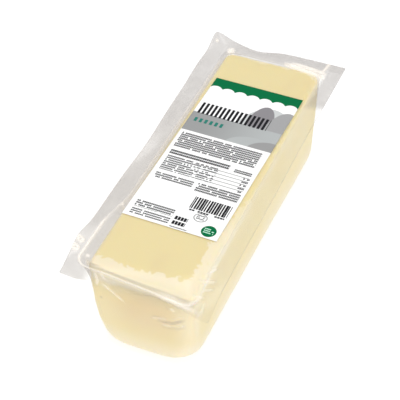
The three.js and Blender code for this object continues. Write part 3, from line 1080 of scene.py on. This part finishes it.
# Blocks of short plain dashes. Rows stand "pitch" apart and are "height" of it high, and dashes
# "dash" apart and "wide" of it wide. "fill" is the share of them that is inked, all of them past 1.
usualDashes = {"ink": "charcoal", "dash": 1.4, "wide": 0.85, "fill": 1.1}
dashFields = [
    {"box": (3.5, 36, 66.5, 51), "pitch": 16, "ink": "dark", "height": 0.94, "dash": 3.9, "wide": 0.6},
    {"box": (5, 57, 33, 62.2), "pitch": 6, "ink": "teal", "height": 0.87, "dash": 4.7, "wide": 0.55},
    {"box": (3.2, 79, 75.5, 99), "pitch": 2.5, "height": 0.76, "dash": 1.5, "fill": 0.92},
    {"box": (3.8, 103, 57, 109), "pitch": 3.0, "ink": "dark", "height": 0.76, "dash": 1.7, "fill": 0.94},
    {"box": (4.2, 110.5, 27, 129), "pitch": 2.5, "height": 0.68, "fill": 0.9},
    {"box": (27, 110.5, 50, 129), "pitch": 2.5, "height": 0.55, "fill": 0.66},
    {"box": (62, 105.5, 77.5, 109.5), "pitch": 2.2, "ink": "dark", "height": 0.74, "fill": 0.92},
    {"box": (72.5, 113, 78, 131), "pitch": 4.0, "height": 0.45, "dash": 1.6, "fill": 0.9},
    {"box": (4.3, 133, 38, 140.5), "pitch": 2.5, "height": 0.68, "fill": 0.92},
    {"box": (41.5, 132.5, 78.5, 143), "pitch": 2.6, "height": 0.72, "fill": 0.92},
    {"box": (47, 162.8, 77, 164.8), "pitch": 2.1, "height": 0.9, "dash": 2.4, "fill": 0.85},
    {"box": (4.8, 169, 38, 177), "pitch": 2.5, "height": 0.7, "dash": 1.5, "fill": 0.94},
    {"box": (4.8, 179, 38, 186), "pitch": 2.4, "height": 0.62, "dash": 1.5, "fill": 0.92},
    {"box": (40.5, 174.5, 51.5, 185.5), "pitch": 5.6, "ink": "dark", "height": 0.73, "dash": 2.6},
    {"box": (40.5, 186.4, 55, 187.4), "pitch": 1.2, "height": 0.85, "fill": 0.9},
    {"box": (56, 166.6, 62.8, 172.2), "pitch": 1.8, "height": 0.6, "dash": 1.3, "fill": 0.8},
]
barField = {"box": (46, 148, 78, 162), "pitch": 2.15, "thin": 0.5, "thick": 0.96, "ink": "dark"}
# Plain ovals: middle, half width and half height, and the part of the label that they show in.
abovePanel = (40, 14.5, 81.2, 50)
ovalsUnderPanel = [
    {"middle": (64, 62), "half": (25, 40), "ink": "pale", "over": abovePanel},
    {"middle": (58, 46), "half": (11, 25), "ink": "shade", "over": abovePanel},
    {"middle": (78, 58), "half": (15, 36), "ink": "middle", "over": abovePanel},
]
onPanel = (0, 50, 81.2, 75.6)
ovalsOnPanel = [
    {"middle": (66, 78), "half": (26, 15), "ink": "silver", "over": onPanel},
    {"middle": (80, 80), "half": (21, 16), "ink": "rule", "over": onPanel},
]
# Regular scallops along the green band's lower edge.
scallops = [
    {"middle": (5.5 + 11.7 * i, 15.8), "half": (6, 5), "ink": "white", "over": (0, 10, 81.2, 13.6)}
    for i in range(7)
]
stampOval = {"middle": (59.3, 169.4), "half": (5.8, 4.9), "line": 0.9, "ink": "rule"}
badge = {"middle": (71.3, 180.8), "half": (6.2, 6.2), "ink": "green"}
badgeDashes = {"box": (67.2, 177.9, 75.6, 183.9), "pitch": 2.1, "height": 0.55, "dash": 1.3,
               "fill": 0.75, "ink": "mint"}


def insideBox(tree, x, y, box):
    left, far, right, near = box
    inX = maths(tree, "COMPARE", x, (left + right) / 2, (right - left) / 2)
    inY = maths(tree, "COMPARE", y, (far + near) / 2, (near - far) / 2)
    return maths(tree, "MULTIPLY", inX, inY)


def insideOval(tree, x, y, middle, half):
    dx = maths(tree, "MULTIPLY", maths(tree, "SUBTRACT", x, middle[0]), 1 / half[0])
    dy = maths(tree, "MULTIPLY", maths(tree, "SUBTRACT", y, middle[1]), 1 / half[1])
    square = maths(tree, "ADD", maths(tree, "MULTIPLY", dx, dx), maths(tree, "MULTIPLY", dy, dy))
    return maths(tree, "LESS_THAN", square, 1.0)


def randomCell(tree, x, y, seed):
    place = addNode(tree, "ShaderNodeCombineXYZ")
    tree.links.new(maths(tree, "ADD", x, seed), place.inputs["X"])
    tree.links.new(maths(tree, "ADD", y, seed), place.inputs["Y"])
    cell = addNode(tree, "ShaderNodeTexWhiteNoise", noise_dimensions="2D")
    tree.links.new(place.outputs[0], cell.inputs["Vector"])
    return cell.outputs["Value"]


def dashes(tree, x, y, field):
    field = {**usualDashes, **field}
    left, far = field["box"][:2]
    line = maths(tree, "DIVIDE", maths(tree, "SUBTRACT", y, far), field["pitch"])
    column = maths(tree, "DIVIDE", maths(tree, "SUBTRACT", x, left), field["dash"])
    printed = maths(tree, "LESS_THAN", maths(tree, "FRACT", line), field["height"])
    seed = round(left * 7.3 + far * 3.1)      # each block gets its own pattern
    cell = randomCell(tree, maths(tree, "FLOOR", column), maths(tree, "FLOOR", line), seed)
    inked = maths(tree, "LESS_THAN", cell, field["fill"])
    wide = maths(tree, "LESS_THAN", maths(tree, "FRACT", column), field["wide"])
    mark = maths(tree, "MULTIPLY", maths(tree, "MULTIPLY", printed, inked), wide)
    return maths(tree, "MULTIPLY", mark, insideBox(tree, x, y, field["box"]))


def bars(tree, x, y, field):
    place = maths(tree, "DIVIDE", x, field["pitch"])
    column = maths(tree, "FLOOR", place)
    cell = randomCell(tree, column, maths(tree, "MULTIPLY", column, 0.37), 3)      # its own for each bar
    width = maths(tree, "MULTIPLY_ADD", cell, field["thick"] - field["thin"], field["thin"])
    inked = maths(tree, "LESS_THAN", maths(tree, "FRACT", place), width)
    return maths(tree, "MULTIPLY", inked, insideBox(tree, x, y, field["box"]))


def printOvals(tree, x, y, colour, ovals):
    for oval in ovals:
        mask = insideOval(tree, x, y, oval["middle"], oval["half"])
        mask = maths(tree, "MULTIPLY", mask, insideBox(tree, x, y, oval["over"]))
        colour = mixColours(tree, mask, colour, ink[oval["ink"]])
    return colour


def labelMaterial():
    material, tree = newMaterial("printedPaper")
    place = addNode(tree, "ShaderNodeUVMap", uv_map="UVMap").outputs["UV"]
    split = addNode(tree, "ShaderNodeSeparateXYZ")
    tree.links.new(place, split.inputs[0])
    x = maths(tree, "MULTIPLY", split.outputs["X"], label["width"])
    y = maths(tree, "MULTIPLY_ADD", split.outputs["Y"], -label["length"], label["length"])
    fibres = noiseValue(tree, label["fibreScale"], 2)
    colour = mixColours(tree, fibres, label["paper"], label["paperShade"])
    colour = printOvals(tree, x, y, colour, ovalsUnderPanel)
    for field in plainFields:
        inkColour = ink[field["ink"]]
        if "fadeTo" in field:
            fading = fadeBetween(tree, x, *field["fade"])
            inkColour = mixColours(tree, fading, inkColour, ink[field["fadeTo"]])
        colour = mixColours(tree, insideBox(tree, x, y, field["box"]), colour, inkColour)
    colour = printOvals(tree, x, y, colour, scallops)
    colour = printOvals(tree, x, y, colour, ovalsOnPanel)
    for field in dashFields:
        inkColour = ink[field.get("ink", usualDashes["ink"])]
        colour = mixColours(tree, dashes(tree, x, y, field), colour, inkColour)
    colour = mixColours(tree, bars(tree, x, y, barField), colour, ink[barField["ink"]])
    middle, half, line = stampOval["middle"], stampOval["half"], stampOval["line"]
    hollow = insideOval(tree, x, y, middle, (half[0] - line, half[1] - line))
    ring = maths(tree, "SUBTRACT", insideOval(tree, x, y, middle, half), hollow)
    colour = mixColours(tree, ring, colour, ink[stampOval["ink"]])
    disc = insideOval(tree, x, y, badge["middle"], badge["half"])
    colour = mixColours(tree, disc, colour, ink[badge["ink"]])
    colour = mixColours(tree, dashes(tree, x, y, badgeDashes), colour, ink[badgeDashes["ink"]])
    shader = addNode(tree, "ShaderNodeBsdfPrincipled")
    tree.links.new(colour, shader.inputs["Base Color"])
    shader.inputs["Roughness"].default_value = label["roughness"]
    shader.inputs["Specular IOR Level"].default_value = label["specular"]
    showSurface(tree, shader)
    return material


def makeLabel():
    piece = newGrid("printed_label", label["across"], label["along"])
    places = vertexPlaces(piece)
    turn = math.radians(label["turn"])
    across, along = places[:, 0] * label["width"], places[:, 1] * label["length"]
    x = label["x"] + across * math.cos(turn) - along * math.sin(turn)
    y = label["y"] + across * math.sin(turn) + along * math.cos(turn)
    z = np.full_like(x, block["top"] + lid["gap"] + label["overLid"])
    placeVertices(piece, toMetres(np.column_stack((x, y, z))))
    applyModifier(piece, "SOLIDIFY", thickness=label["thickness"] * mm, offset=0)
    finishPiece(piece, "label", labelMaterial())


makeLabel()
